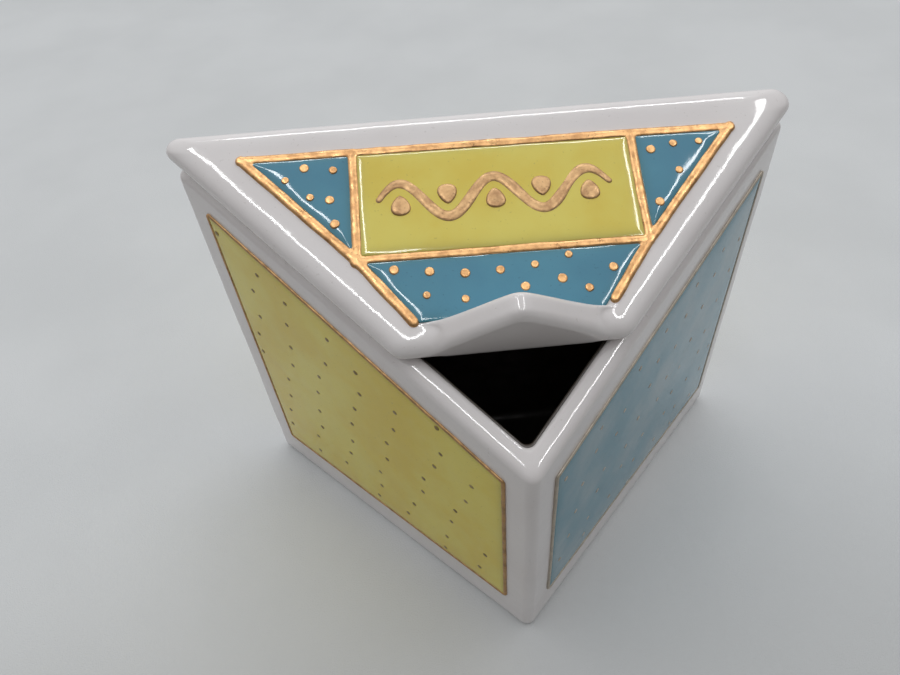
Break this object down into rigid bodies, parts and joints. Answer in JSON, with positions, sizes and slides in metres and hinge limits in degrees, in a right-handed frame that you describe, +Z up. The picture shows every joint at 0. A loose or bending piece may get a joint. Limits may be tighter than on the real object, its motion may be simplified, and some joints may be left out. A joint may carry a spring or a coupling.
{
  "type": "lidded ceramic dish",
  "caption": "Triangular glazed ceramic dish with a sloping lid, a folded finger lip at the open front corner and raised gold line decoration.",
  "frame": {"origin": "centre of the bounding box in plan, on the table plane under the dish", "axes": "+Z up; +X to the right along the back wall; the right-angled front corner points to -Y"},
  "size_m": [0.1372, 0.0714, 0.1105],
  "materials": {
    "white_glaze": "glossy clear glaze over white clay",
    "dark_inner_glaze": "glossy near-black brown glaze",
    "gold_line": "raised gold lustre line",
    "vine_bronze": "raised dull bronze lustre line",
    "yellow_glaze": "glossy yellow glaze",
    "blue_glaze": "glossy teal blue glaze"
  },
  "bodies": {
    "dish": {"dish_body": "white_glaze", "inner_glaze_lining": "dark_inner_glaze", "wall_glaze_back": "yellow_glaze", "wall_glaze_left": "yellow_glaze", "wall_glaze_right": "blue_glaze", "wall_gold_outline_back": "gold_line", "wall_gold_outline_left": "gold_line", "wall_gold_outline_right": "gold_line"},
    "lid": {"lid_dot_front_1": "gold_line", "lid_dot_front_10": "gold_line", "lid_dot_front_11": "gold_line", "lid_dot_front_12": "gold_line", "lid_dot_front_2": "gold_line", "lid_dot_front_3": "gold_line", "lid_dot_front_4": "gold_line", "lid_dot_front_5": "gold_line", "lid_dot_front_6": "gold_line", "lid_dot_front_7": "gold_line", "lid_dot_front_8": "gold_line", "lid_dot_front_9": "gold_line", "lid_dot_left_1": "gold_line", "lid_dot_left_2": "gold_line", "lid_dot_left_3": "gold_line", "lid_dot_left_4": "gold_line", "lid_dot_left_5": "gold_line", "lid_dot_left_6": "gold_line", "lid_dot_right_1": "gold_line", "lid_dot_right_2": "gold_line", "lid_dot_right_3": "gold_line", "lid_dot_right_4": "gold_line", "lid_dot_right_5": "gold_line", "lid_glaze_centre": "yellow_glaze", "lid_glaze_front": "blue_glaze", "lid_glaze_left": "blue_glaze", "lid_glaze_right": "blue_glaze", "lid_gold_frame": "gold_line", "lid_locating_flange": "white_glaze", "lid_plate": "white_glaze", "lid_vine_leaf_1": "vine_bronze", "lid_vine_leaf_2": "vine_bronze", "lid_vine_leaf_3": "vine_bronze", "lid_vine_leaf_4": "vine_bronze", "lid_vine_leaf_5": "vine_bronze", "lid_vine_stem": "vine_bronze"}
  },
  "joints": [
    {"name": "lid_lift", "type": "slide", "parent": "dish", "child": "lid", "axis": [0, 0, 1], "range_m": [0, 0.06]}
  ]
}
